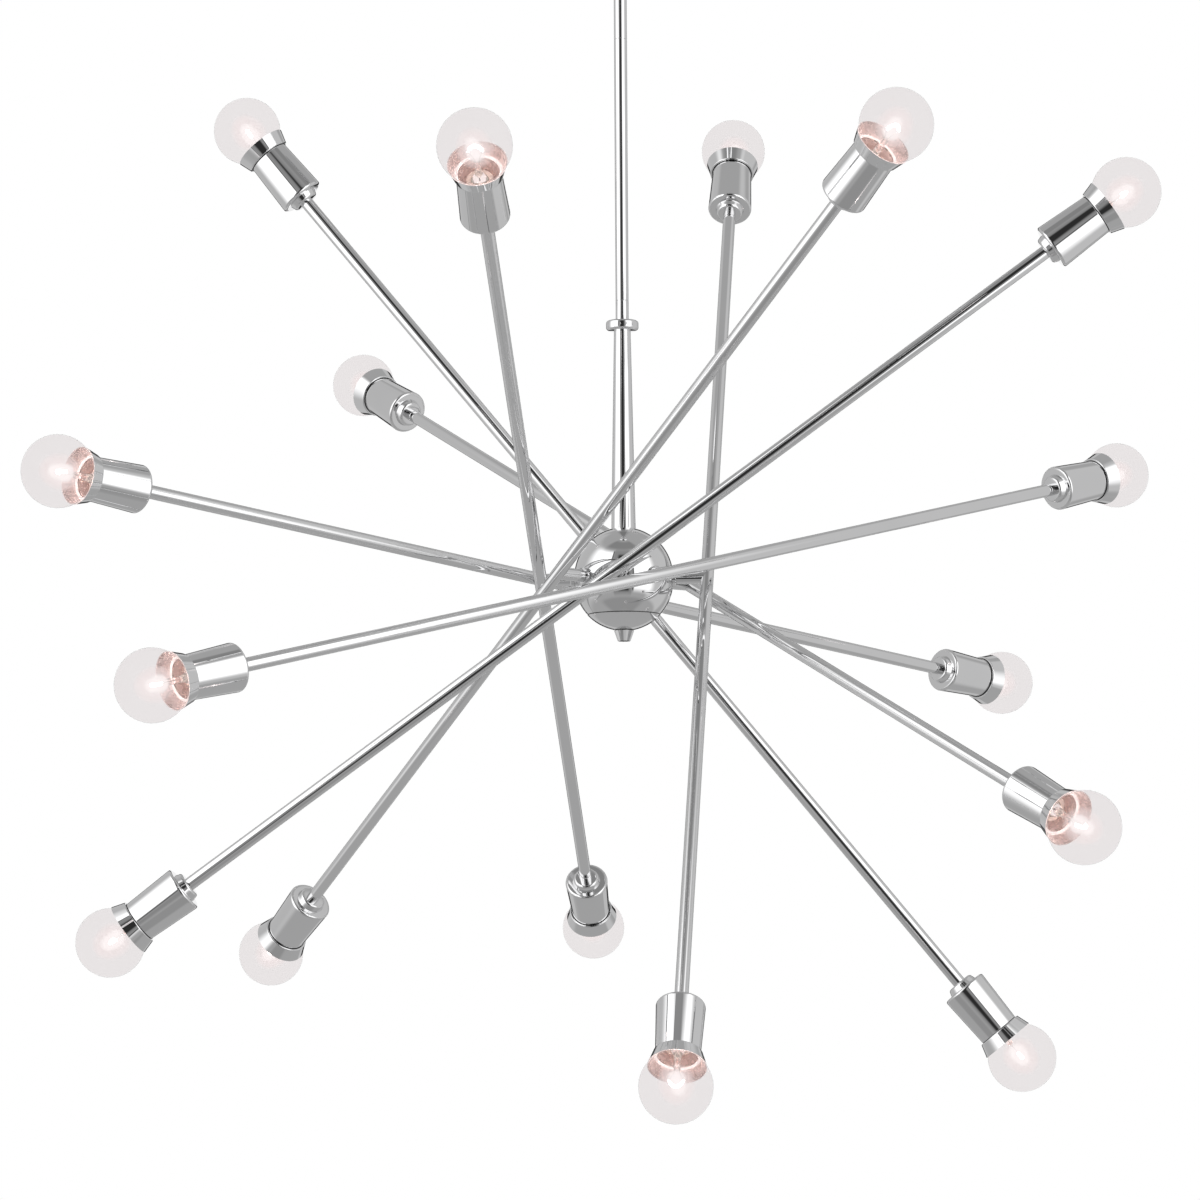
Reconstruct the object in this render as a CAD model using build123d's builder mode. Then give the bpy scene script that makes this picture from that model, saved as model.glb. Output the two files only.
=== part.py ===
from build123d import *
from math import asin, cos, degrees, radians, sin, sqrt
import os

# A chandelier of eight straight swivel rods round a ball hub, with a globe lamp at each rod end.
# Millimetres, +Z up. The origin is the middle of the ceiling face, and the front is towards -Y.

# Drop from the ceiling to the pivots
hub_drop = 658.0

# Tube and threads
tube_radius = 5.0
tube_wall = 1.0
thread_gap = 0.05
wire_bore = 2.6
edge_break = 0.3
nut_fit = 0.02
hex_flats = 13.0
nipple_reach = 11.0

# Hub ball: a lower and an upper half sphere joined by a short belt at the pivots
ball_radius = 38.0
belt_half = 1.7
ball_wall = 1.6
crown_wall = 2.0
crown_play = 0.09
seam_drop = 27.6
seam_break = 0.4
cap_flare = 0.3
cap_lip_height = 2.6
cap_lip_gap = 0.28
hub_nut_height = 5.0

# Pivot bushes, stubs and lock nuts
spigot_radius = 4.0
spigot_bore = 2.2
spigot_reach = 5.5
bush_play = 0.05
bush_wall = 1.4
bush_hole_gap = 0.05
bush_lip = 1.8
bush_bevel = 0.6
flange_width = 1.05
flange_height = 2.6
flange_seat_gap = 0.02
stub_gap = 0.1
stub_relief = 0.05
stub_length = 23.3
lock_nut_flats = 12.0
lock_nut_height = 5.0
lock_nut_gap = 0.1

# Arms: half a rod, the pivots' directions and the rods' tilts at rest
rod_half = 399.0
azimuths = [0.0, 43.5, 89.5, 135.0, 182.0, 226.0, 270.5, 314.5]
tilts = [35.7, 13.2, 54.5, 26.0, 50.7, 6.2, 32.4, 35.9]

# Cups and their bosses
boss_length = 5.0
boss_top_radius = 8.75
boss_foot_radius = 11.25
cup_length = 42.7
cup_back_radius = 17.75
cup_back_chamfer = 1.2
cup_mouth_radius = 16.0
cup_wall = 1.0
cup_play = 0.15

# Collars
collar_length = 10.3
collar_shoulder = 1.75
collar_wall = 0.8
collar_lap = 0.4
collar_gap = 0.26

# Lampholders
socket_length = 35.6
socket_radius = 9.5
socket_bore_depth = 17.5
socket_gap = 0.4
socket_thread_reach = 10.0

# Globe bulbs
globe_radius = 26.2
globe_mouth_radius = 14.2
bulb_neck_length = 10.8
bulb_neck_lip = 0.7
bulb_neck_gap = 0.2
base_radius = 5.9
base_gap = 0.3
base_tip_gap = 0.7

# Stem, check ring and its neck, over the pivots
stem_top = 191.6
stem_foot_radius = 9.35
stem_top_radius = 6.4
stem_wall = 1.2
stem_web = 4.0
ring_height = 7.8
ring_radius = 12.5
ring_upper_round = 2.2
ring_lower_round = 2.6
ring_rim = 0.7
neck_height = 15.4

# Window for the wires, in the long nipple
window_height = 14.0
window_width = 4.4
window_centre = 12.0

# Finial
finial_top_radius = 7.75
finial_foot_radius = 4.9
finial_height = 8.0
finial_tip = 2.6
finial_groove_height = 0.6
finial_groove_depth = 0.85
flute_count = 10
flute_top_depth = 0.85
flute_foot_depth = 0.6
nipple_tip_gap = 1.1

# Canopy and its ring
canopy_depth = 28.0
canopy_radius = 65.0
canopy_wall = 1.2
canopy_side = 9.0
canopy_flat_radius = 22.0
canopy_play = 0.45
canopy_ring_height = 7.2
canopy_ring_radius = 9.0
canopy_ring_bevel = 1.2

# Mounting bar
bar_half = 52.5
bar_width = 18.0
bar_thick = 2.0
bar_ear = 27.0
bar_web = 17.0
bar_web_drop = 8.0
bar_nut_height = 4.0
bar_thread_end = 1.0
slot_offset = 39.75
slot_travel = 9.5
slot_radius = 2.25

# Threads, and the places that follow from the sizes: over the pivots, or out from the hub's axis
hub_z = -hub_drop
hub_place = Location((0, 0, hub_z))
thread_bore = tube_radius - tube_wall
thread_radius = thread_bore - thread_gap
crown_hole = thread_radius + crown_play
crown_z = belt_half + sqrt(ball_radius**2 - stem_foot_radius**2)
ring_top = stem_top + ring_height
neck_top = ring_top + neck_height
canopy_bottom = hub_drop - canopy_depth
upper_rod_top = canopy_bottom - canopy_ring_height
downrod_length = (upper_rod_top - neck_top) / 2
inner_radius = ball_radius - ball_wall
cap_radius = ball_radius + cap_flare
seam_rise = seam_drop - belt_half
seam_angle = degrees(asin(seam_rise / inner_radius))
seam_edge = (sqrt(ball_radius**2 - seam_rise**2), -seam_drop)
cap_edge = (sqrt(cap_radius**2 - (seam_rise + seam_break) ** 2), -seam_drop - seam_break)
lip_radius = sqrt(inner_radius**2 - seam_rise**2) - cap_lip_gap
cap_lip_top = cap_lip_height - seam_drop
cap_lip_foot = -seam_drop - ball_wall
finial_seat = -belt_half - sqrt(cap_radius**2 - finial_top_radius**2)
finial_top = finial_seat - finial_groove_height
finial_bore_depth = finial_groove_height + finial_height - finial_tip
bush_bore = spigot_radius + bush_play
bush_body_radius = bush_bore + bush_wall
bush_hole_radius = bush_body_radius + bush_hole_gap
bush_flange_radius = bush_body_radius + flange_width
bush_inner_face = inner_radius - bush_lip
bush_outer_face = ball_radius + flange_height
bush_shoulder = sqrt(ball_radius**2 - (bush_body_radius - belt_half) ** 2) + flange_seat_gap
bush_flange_back = sqrt(ball_radius**2 - (bush_flange_radius - belt_half) ** 2) + flange_seat_gap
lock_nut_face = bush_inner_face - lock_nut_gap
spigot_end = lock_nut_face - lock_nut_height - spigot_reach
stub_radius = tube_radius - stub_relief
stub_end = bush_outer_face + stub_gap
rod_offset = stub_end + stub_length

# The lamps' places, measured along the rod from its middle
cup_back = rod_half + boss_length
cup_mouth = cup_back + cup_length
cup_hole = thread_radius + cup_play
socket_back = cup_back + cup_wall + socket_gap
socket_mouth = socket_back + socket_length
socket_bore = base_radius + base_gap
socket_bore_floor = socket_mouth - socket_bore_depth
socket_spigot_end = rod_half - socket_thread_reach
base_tip = socket_bore_floor + base_tip_gap
base_mouth = socket_mouth + bulb_neck_gap
neck_radius = base_radius + bulb_neck_lip
neck_front = base_mouth + bulb_neck_length
globe_centre = neck_front + sqrt(globe_radius**2 - globe_mouth_radius**2)
collar_back_radius = cup_mouth_radius + collar_shoulder
collar_hole = cup_mouth_radius - cup_wall - collar_lap
collar_mouth = cup_mouth + collar_length
collar_reach = globe_centre - collar_mouth
collar_mouth_radius = sqrt(globe_radius**2 - collar_reach**2) + collar_gap + collar_wall
os.makedirs("parts", exist_ok=True)


def on_circle(radius, middle, angle):
    # A point of a half section: on a circle round a point of the hub's axis, at an angle over the level.
    return (radius * cos(radians(angle)), middle + radius * sin(radians(angle)))


def save(solid, name):
    # Writes one named piece.
    solid.label = name
    export_step(solid, f"parts/{name}.step")


def radial(azimuth):
    # The outward direction of an arm's pivot, seen from above.
    return Vector(sin(radians(azimuth)), -cos(radians(azimuth)), 0)


def arm_plane(azimuth, tilt):
    # The frame of one arm: x along the rod to its raised end, z along the pivot, away from the hub.
    level = Vector(cos(radians(azimuth)), sin(radians(azimuth)), 0)
    along = level * cos(radians(tilt)) + Vector(0, 0, sin(radians(tilt)))
    return Plane(radial(azimuth) * rod_offset + Vector(0, 0, hub_z), x_dir=along, z_dir=radial(azimuth))


def turned(points):
    # A solid turned round the local x axis from a closed half section, and its twin at the rod's other end.
    with BuildPart() as piece:
        with BuildSketch(Plane.XY):
            with BuildLine():
                Polyline(*points, close=True)
            make_face()
        revolve(axis=Axis.X)
        mirror(about=Plane.YZ)
    return piece


# Points of the ball's half section: arc middles outside, a few bands inside
lower_quarter = on_circle(ball_radius, -belt_half, -22)
upper_quarter = on_circle(ball_radius, belt_half, 38)
cap_quarter = on_circle(cap_radius, -belt_half, -60)
inner_points = [on_circle(inner_radius, belt_half, angle) for angle in (56, 35, 14)]
inner_points += [on_circle(inner_radius, -belt_half, -share * seam_angle) for share in (0.31, 0.69)]
inner_points.append((sqrt(inner_radius**2 - seam_rise**2), -seam_drop))
cap_rest = 90 - seam_angle
cap_inner_points = [on_circle(inner_radius, -belt_half, share * cap_rest - 90) for share in (0.56, 0.85)]

# Hub ball, from the crown's flat seat to the open seam, with a banded inside wall
with BuildPart() as hub:
    with BuildSketch(Plane.XZ):
        with BuildLine():
            ThreePointArc(seam_edge, lower_quarter, (ball_radius, -belt_half))
            Line((ball_radius, -belt_half), (ball_radius, belt_half))
            ThreePointArc((ball_radius, belt_half), upper_quarter, (stem_foot_radius, crown_z))
            Polyline(
                (stem_foot_radius, crown_z),
                (crown_hole, crown_z),
                (crown_hole, crown_z - crown_wall),
                (stem_foot_radius, crown_z - crown_wall),
                *inner_points,
                seam_edge,
            )
        make_face()
    revolve(axis=Axis.Z)
    for azimuth in azimuths:
        with BuildSketch(Plane((0, 0, 0), x_dir=(0, 0, 1), z_dir=radial(azimuth)).offset(ball_radius / 2)):
            Circle(bush_hole_radius)
        extrude(amount=ball_radius, mode=Mode.SUBTRACT)
    chamfer(hub.edges().filter_by(GeomType.CIRCLE).group_by(Axis.Z)[0].sort_by(SortBy.RADIUS)[-1], seam_break)
save(hub.part.moved(hub_place), "hub_shell")

# Flanged bushes, relieved behind the flange to sit on the ball
with BuildPart() as bush:
    with BuildSketch(Plane.XY):
        with BuildLine():
            Polyline(
                (bush_inner_face, bush_bore),
                (bush_inner_face, bush_body_radius),
                (bush_shoulder, bush_body_radius),
                (bush_flange_back, bush_flange_radius),
                (bush_outer_face - bush_bevel, bush_flange_radius),
                (bush_outer_face, bush_flange_radius - bush_bevel),
                (bush_outer_face, bush_bore),
                close=True,
            )
        make_face()
    revolve(axis=Axis.X)
bushes = [bush.part.moved(hub_place * Rotation(0, 0, azimuth - 90)) for azimuth in azimuths]
save(Compound(children=bushes), "pivot_bushes")

# Cap of the ball, with a lip inside the seam and a flat for the finial
with BuildPart() as cap:
    with BuildSketch(Plane.XZ):
        with BuildLine():
            ThreePointArc(cap_edge, cap_quarter, (finial_top_radius, finial_seat))
            Polyline(
                (finial_top_radius, finial_seat),
                (crown_hole, finial_seat),
                (crown_hole, finial_seat + ball_wall),
                (finial_top_radius, finial_seat + ball_wall),
                *cap_inner_points,
                (lip_radius - ball_wall, cap_lip_foot),
                (lip_radius - ball_wall, cap_lip_top),
                (lip_radius, cap_lip_top),
                (lip_radius, -seam_drop),
                (cap_edge[0] - seam_break, -seam_drop),
                cap_edge,
            )
        make_face()
    revolve(axis=Axis.Z)
save(cap.part.moved(hub_place), "hub_cap")

# Fluted finial under the cap: a star section that tapers downwards
with BuildPart() as finial:
    for level, ridge, flute_depth in (
        (finial_top, finial_top_radius, flute_top_depth),
        (finial_top - finial_height, finial_foot_radius, flute_foot_depth),
    ):
        with BuildSketch(Plane.XY.offset(level)):
            with BuildLine():
                star = []
                for step in range(2 * flute_count):
                    reach = ridge - flute_depth if step % 2 else ridge
                    star.append(Vector(reach, 0).rotate(Axis.Z, step * 180 / flute_count))
                Polyline(*star, close=True)
            make_face()
    loft(ruled=True)
    with BuildSketch(Plane.XY.offset(finial_top)):
        Circle(finial_top_radius - finial_groove_depth)
    extrude(amount=finial_groove_height)
    with BuildSketch(Plane.XY.offset(finial_seat - finial_bore_depth)):
        Circle(thread_bore)
    extrude(amount=finial_bore_depth, mode=Mode.SUBTRACT)
save(finial.part.moved(hub_place), "finial")

# Tapered stem on the ball's crown
with BuildPart() as stem:
    with BuildSketch(Plane.XZ):
        with BuildLine():
            Polyline(
                (stem_foot_radius - stem_wall, crown_z),
                (stem_foot_radius, crown_z),
                (stem_top_radius, stem_top),
                (thread_bore, stem_top),
                (thread_bore, stem_top - stem_web),
                (stem_top_radius - stem_wall, stem_top - stem_web),
                close=True,
            )
        make_face()
    revolve(axis=Axis.Z)
save(stem.part.moved(hub_place), "tapered_stem")

# Check ring with a rounded rim, and the short neck that the lower rod stands on
with BuildPart() as ring:
    with BuildSketch(Plane.XZ):
        with BuildLine():
            Polyline(
                (thread_bore, stem_top),
                (ring_radius - ring_lower_round, stem_top),
                (ring_radius - ring_rim, stem_top + ring_rim),
                (ring_radius, stem_top + ring_lower_round),
                (ring_radius, ring_top - ring_upper_round),
                (ring_radius - ring_rim, ring_top - ring_rim),
                (ring_radius - ring_upper_round, ring_top),
                (tube_radius, ring_top),
                (tube_radius, neck_top - edge_break),
                (tube_radius - edge_break, neck_top),
                (thread_bore, neck_top),
                close=True,
            )
        make_face()
    revolve(axis=Axis.Z)
save(ring.part.moved(hub_place), "check_ring")

# Two straight downrods, one on the other
rods = []
for foot in (neck_top, neck_top + downrod_length):
    with BuildPart() as downrod:
        with BuildSketch(Plane.XY.offset(hub_z + foot)):
            Circle(tube_radius)
        extrude(amount=downrod_length)
        chamfer(downrod.edges().group_by(Axis.Z)[0], edge_break)
        chamfer(downrod.edges().group_by(Axis.Z)[-1], edge_break)
        with BuildSketch(Plane.XY.offset(hub_z + foot)):
            Circle(thread_bore)
        extrude(amount=downrod_length, mode=Mode.SUBTRACT)
    rods.append(downrod.part)
save(Compound(children=rods), "downrods")

# Hollow threaded nipples: the long one through the hub, one in the rod joint, one in the canopy
joint_z = neck_top + downrod_length
finial_end = finial_seat - finial_bore_depth + nipple_tip_gap
bar_end = hub_drop - bar_web_drop + bar_nut_height + bar_thread_end
nipples = []
for low_end, high_end in (
    (finial_end, neck_top + nipple_reach),
    (joint_z - nipple_reach, joint_z + nipple_reach),
    (upper_rod_top - nipple_reach, bar_end),
):
    with BuildPart() as nipple:
        with BuildSketch(Plane.XY.offset(hub_z + low_end)):
            Circle(thread_radius)
            Circle(wire_bore, mode=Mode.SUBTRACT)
        extrude(amount=high_end - low_end)
        if low_end == finial_end:
            with BuildSketch(Plane.XZ.offset(-2 * thread_radius)):
                with Locations((0, hub_z + window_centre)):
                    SlotOverall(window_height, window_width, rotation=90)
            extrude(amount=4 * thread_radius, mode=Mode.SUBTRACT)
    nipples.append(nipple.part)
save(Compound(children=nipples), "threaded_nipples")

# Hex nuts: one under the hub's crown, one on each side of the mounting bar
nuts = []
for floor, height in (
    (crown_z - crown_wall - hub_nut_height, hub_nut_height),
    (hub_drop - bar_web_drop, bar_nut_height),
    (hub_drop - bar_web_drop - bar_thick - bar_nut_height, bar_nut_height),
):
    with BuildPart() as nut:
        with BuildSketch(Plane.XY.offset(hub_z + floor)):
            RegularPolygon(hex_flats / 2, 6, major_radius=False)
            Circle(thread_bore, mode=Mode.SUBTRACT)
        extrude(amount=height)
    nuts.append(nut.part)
save(Compound(children=nuts), "hex_nuts")

# Canopy, a shallow spun dish that is open at the ceiling
with BuildPart() as canopy:
    with BuildSketch(Plane.XZ):
        with BuildLine():
            Polyline(
                (thread_radius + canopy_play, -canopy_depth),
                (canopy_flat_radius, -canopy_depth),
                (canopy_radius, -canopy_side),
                (canopy_radius, 0),
                (canopy_radius - canopy_wall, 0),
                (canopy_radius - canopy_wall, -canopy_side),
                (canopy_flat_radius, canopy_wall - canopy_depth),
                (thread_radius + canopy_play, canopy_wall - canopy_depth),
                close=True,
            )
        make_face()
    revolve(axis=Axis.Z)
save(canopy.part, "canopy")

# Ring nut that holds the canopy up
with BuildPart() as canopy_ring:
    with BuildSketch(Plane.XY.offset(hub_z + upper_rod_top)):
        Circle(canopy_ring_radius)
    extrude(amount=canopy_bottom - upper_rod_top)
    chamfer(canopy_ring.edges().group_by(Axis.Z)[0], canopy_ring_bevel)
    with BuildSketch(Plane.XY.offset(hub_z + upper_rod_top)):
        Circle(thread_bore)
    extrude(amount=canopy_bottom - upper_rod_top, mode=Mode.SUBTRACT)
save(canopy_ring.part, "canopy_ring")

# Mounting bar: two slotted ears against the ceiling box and a dropped middle
with BuildPart() as bar:
    with BuildSketch(Plane.XZ.offset(-bar_width / 2)):
        with BuildLine():
            Polyline(
                (-bar_half, 0),
                (-bar_ear, 0),
                (-bar_web, -bar_web_drop),
                (bar_web, -bar_web_drop),
                (bar_ear, 0),
                (bar_half, 0),
                (bar_half, -bar_thick),
                (bar_ear - bar_thick / 2, -bar_thick),
                (bar_web - bar_thick / 2, -bar_web_drop - bar_thick),
                (bar_thick / 2 - bar_web, -bar_web_drop - bar_thick),
                (bar_thick / 2 - bar_ear, -bar_thick),
                (-bar_half, -bar_thick),
                close=True,
            )
        make_face()
    extrude(amount=bar_width)
    with BuildSketch(Plane.XY.offset(-bar_web_drop - bar_thick)):
        Circle(thread_bore)
        with Locations((slot_offset, 0), (-slot_offset, 0)):
            SlotCenterToCenter(slot_travel, 2 * slot_radius)
    extrude(amount=bar_web_drop + bar_thick, mode=Mode.SUBTRACT)
save(bar.part, "mounting_bar")

# One arm's rod: a tube with a stub brazed to its middle, and a hollow spigot for the bush
with BuildPart() as rod:
    with BuildSketch(Plane.YZ.offset(-rod_half)):
        Circle(tube_radius)
    extrude(amount=2 * rod_half)
    with BuildSketch(Plane.XY):
        Circle(stub_radius)
    extrude(amount=stub_end - rod_offset)
    with BuildSketch(Plane.XY.offset(stub_end - rod_offset)):
        Circle(spigot_radius)
    extrude(amount=spigot_end - stub_end)
    with BuildSketch(Plane.YZ.offset(-rod_half)):
        Circle(thread_bore)
    extrude(amount=2 * rod_half, mode=Mode.SUBTRACT)
    with BuildSketch(Plane.XY):
        Circle(spigot_bore)
    extrude(amount=spigot_end - rod_offset, mode=Mode.SUBTRACT)

# Its lock nut, inside the ball
with BuildPart() as lock_nut:
    with BuildSketch(Plane.XY.offset(lock_nut_face - rod_offset)):
        RegularPolygon(lock_nut_flats / 2, 6, major_radius=False)
        Circle(spigot_radius + nut_fit, mode=Mode.SUBTRACT)
    extrude(amount=-lock_nut_height)

# Cups with their bosses, flared collars, lampholders and globe bulbs, in pairs
cups = turned([
    (rod_half, cup_hole),
    (rod_half, boss_top_radius),
    (cup_back, boss_foot_radius),
    (cup_back, cup_back_radius - cup_back_chamfer),
    (cup_back + cup_back_chamfer, cup_back_radius),
    (cup_mouth, cup_mouth_radius),
    (cup_mouth, cup_mouth_radius - cup_wall),
    (cup_back + cup_wall, cup_back_radius - cup_wall - cup_back_chamfer / 2),
    (cup_back + cup_wall, cup_hole),
])
collars = turned([
    (cup_mouth, collar_hole),
    (cup_mouth, collar_back_radius),
    (collar_mouth, collar_mouth_radius),
    (collar_mouth, collar_mouth_radius - collar_wall),
    (cup_mouth + collar_wall, collar_back_radius - collar_wall),
    (cup_mouth + collar_wall, collar_hole),
])
sockets = turned([
    (socket_spigot_end, 0),
    (socket_spigot_end, thread_radius),
    (socket_back, thread_radius),
    (socket_back, socket_radius),
    (socket_mouth, socket_radius),
    (socket_mouth, socket_bore),
    (socket_bore_floor, socket_bore),
    (socket_bore_floor, 0),
])
with BuildPart() as bulbs:
    with BuildSketch(Plane.XY):
        with BuildLine():
            nose = (globe_centre + globe_radius, 0)
            Polyline(
                nose,
                (base_tip, 0),
                (base_tip, base_radius),
                (base_mouth, base_radius),
                (base_mouth, neck_radius),
                (neck_front, globe_mouth_radius),
            )
            ThreePointArc((neck_front, globe_mouth_radius), (globe_centre, globe_radius), nose)
        make_face()
    revolve(axis=Axis.X)
    mirror(about=Plane.YZ)

arm_pieces = {"rod": rod, "locknut": lock_nut, "cups": cups}
arm_pieces |= {"collars": collars, "sockets": sockets, "bulbs": bulbs}
for number, (azimuth, tilt) in enumerate(zip(azimuths, tilts), start=1):
    place = arm_plane(azimuth, tilt).location
    for kind, piece in arm_pieces.items():
        save(piece.part.moved(place), f"arm_{number}_{kind}")
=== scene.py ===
import math
import bpy
from mathutils import Matrix, Vector


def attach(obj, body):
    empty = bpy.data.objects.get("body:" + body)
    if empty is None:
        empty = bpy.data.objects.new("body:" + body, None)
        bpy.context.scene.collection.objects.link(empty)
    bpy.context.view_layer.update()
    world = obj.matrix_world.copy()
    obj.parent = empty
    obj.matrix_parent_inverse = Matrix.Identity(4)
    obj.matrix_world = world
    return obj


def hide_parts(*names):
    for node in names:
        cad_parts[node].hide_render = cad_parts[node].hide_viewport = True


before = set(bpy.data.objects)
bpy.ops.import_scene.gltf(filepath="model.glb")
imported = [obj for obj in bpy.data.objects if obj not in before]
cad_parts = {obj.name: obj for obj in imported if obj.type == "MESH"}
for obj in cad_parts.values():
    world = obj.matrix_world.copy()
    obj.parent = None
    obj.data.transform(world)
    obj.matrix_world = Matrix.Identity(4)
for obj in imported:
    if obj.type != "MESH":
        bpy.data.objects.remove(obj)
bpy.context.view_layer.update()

# Chandelier with eight swivel rods round a ball and a globe lamp at each rod end. Metres, as in the frame.
print("frame loaded")

hub = Vector((0, 0, -0.658))  # where the eight pivots meet
rodOffset = 0.064  # from the stem's axis to each rod's
# each arm: its pivot's direction round the hub and its rod's tilt at rest, in degrees
arms = [(0, 35.7), (43.5, 13.2), (89.5, 54.5), (135, 26), (182, 50.7), (226, 6.2), (270.5, 32.4), (314.5, 35.9)]
# how near two points count as one, and how near a rim's stated place its points lie
gaps = {"merge": 2e-6, "rim": 2e-5, "level": 1e-6}


# selection and shaping helpers
def clearSelection():
    bpy.ops.object.select_all(action="DESELECT")


def makeActive(piece):
    clearSelection()
    piece.select_set(True)
    bpy.context.view_layer.objects.active = piece


def atOrigin(piece):
    makeActive(piece)
    bpy.ops.object.transform_apply(location=True, rotation=True, scale=True)


def joinPieces(pieces, name):
    clearSelection()
    for piece in pieces:
        piece.select_set(True)
    bpy.context.view_layer.objects.active = pieces[0]
    bpy.ops.object.join()
    joined = bpy.context.object
    joined.name = name
    return joined


def selectNothing(mesh):
    for group in (mesh.vertices, mesh.edges, mesh.polygons):
        group.foreach_set("select", [False] * len(group))


def selectFaces(piece, chosen):
    # the faces that chosen(centre) picks
    selectNothing(piece.data)
    for face in piece.data.polygons:
        face.select = chosen(face.center)


def selectRims(piece, rims):
    # the edges that run round at each (radius, height)
    mesh = piece.data
    selectNothing(mesh)
    near = [any(abs(math.hypot(v.co.x, v.co.y) - radius) < gaps["rim"] and abs(v.co.z - height) < gaps["rim"]
                for radius, height in rims) for v in mesh.vertices]
    for edge in mesh.edges:
        a, b = edge.vertices
        if near[a] and near[b] and abs(mesh.vertices[a].co.z - mesh.vertices[b].co.z) < gaps["level"]:
            edge.select = mesh.vertices[a].select = mesh.vertices[b].select = True


def growLoop(radius, height, nextRadius, nextHeight):
    # draws the selected ring out to a new height and radius
    bpy.ops.mesh.extrude_region_move(TRANSFORM_OT_translate={"value": (0, 0, nextHeight - height)})
    grow = nextRadius / radius
    bpy.ops.transform.resize(value=(grow, grow, 1), center_override=(0, 0, nextHeight))


def closeUp():
    # merges what meets and turns every face outwards
    bpy.ops.mesh.select_all(action="SELECT")
    bpy.ops.mesh.remove_doubles(threshold=gaps["merge"])
    bpy.ops.mesh.normals_make_consistent(inside=False)


def turnedPiece(name, profile, segments=64):
    # a ring drawn out loop by loop along a closed profile of (radius, height) pairs
    clearSelection()
    radius, height = profile[0]
    bpy.ops.mesh.primitive_circle_add(vertices=segments, radius=radius, location=(0, 0, height))
    piece = bpy.context.object
    piece.name = name
    bpy.ops.object.mode_set(mode="EDIT")
    bpy.ops.mesh.select_mode(type="EDGE")
    bpy.ops.mesh.select_all(action="SELECT")
    for nextRadius, nextHeight in profile[1:] + profile[:1]:
        growLoop(radius, height, nextRadius, nextHeight)
        radius, height = nextRadius, nextHeight
    closeUp()
    bpy.ops.object.mode_set(mode="OBJECT")
    atOrigin(piece)
    return piece


def roundRims(piece, rims, width, steps):
    makeActive(piece)
    selectRims(piece, rims)
    bpy.ops.object.mode_set(mode="EDIT")
    bpy.ops.mesh.select_mode(type="EDGE")
    bpy.ops.mesh.bevel(offset=width, segments=steps, profile=0.5, affect="EDGES")
    bpy.ops.object.mode_set(mode="OBJECT")


def smooth(piece, angle=35):
    makeActive(piece)
    bpy.ops.object.shade_smooth_by_angle(angle=math.radians(angle))


def wallPoint(share, radius, height, farRadius, farHeight):
    # a loop close to a rounded rim, which keeps the wall between two rims straight in its shading
    return radius + (farRadius - radius) * share, height + (farHeight - height) * share


def paintWhere(piece, material, chosen):
    # a second finish on the faces that chosen(centre, normal) picks
    piece.data.materials.append(material)
    slotNumber = len(piece.data.materials) - 1
    for face in piece.data.polygons:
        if chosen(face.center, face.normal):
            face.material_index = slotNumber


def facesAxis(centre, normal):
    return normal.x * centre.x + normal.y * centre.y < 0


# camera: where it stands from the hub and how it is turned, in degrees
cameraShot = {"distance": 3.3926, "side": 5.676, "below": 6.274, "yaw": -0.320, "pitch": 4.453, "roll": -0.328,
              "lens": 132.97, "sensorWidth": 36, "raised": 0.1, "farthest": 50}


def towardsCamera():
    side, below = math.radians(cameraShot["side"]), math.radians(cameraShot["below"])
    return Vector((math.sin(side) * math.cos(below), -math.cos(side) * math.cos(below), -math.sin(below)))


def placeCamera():
    away = towardsCamera()
    place = hub + cameraShot["distance"] * away
    heading = math.atan2(-away.x, -away.y) + math.radians(cameraShot["yaw"])
    pitch, roll = math.radians(cameraShot["pitch"]), math.radians(cameraShot["roll"])
    forward = Vector((math.sin(heading) * math.cos(pitch), math.cos(heading) * math.cos(pitch), math.sin(pitch)))
    right = Vector((math.cos(heading), -math.sin(heading), 0))
    up = right.cross(forward)
    rolledRight = right * math.cos(roll) + up * math.sin(roll)
    rolledUp = up * math.cos(roll) - right * math.sin(roll)
    turn = Matrix((rolledRight, rolledUp, -forward)).transposed().to_4x4()
    clearSelection()
    bpy.ops.object.camera_add()
    camera = bpy.context.object
    camera.name = "studioCamera"
    camera.matrix_world = Matrix.Translation(place) @ turn
    camera.data.lens = cameraShot["lens"]
    camera.data.sensor_width = cameraShot["sensorWidth"]
    camera.data.shift_y = cameraShot["raised"]
    camera.data.clip_end = cameraShot["farthest"]
    bpy.context.scene.camera = camera


placeCamera()
print("camera placed")


# materials
def newMaterial(name):
    material = bpy.data.materials.new(name)
    material.use_nodes = True
    tree = material.node_tree
    return material, tree, tree.nodes["Principled BSDF"]


# fine handling marks and slow unevenness, with the part of their product that turns into roughness
wearLook = {"marksDetail": 4, "cloudDetail": 2, "leastWear": 0.15, "mostWear": 0.4}


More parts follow.
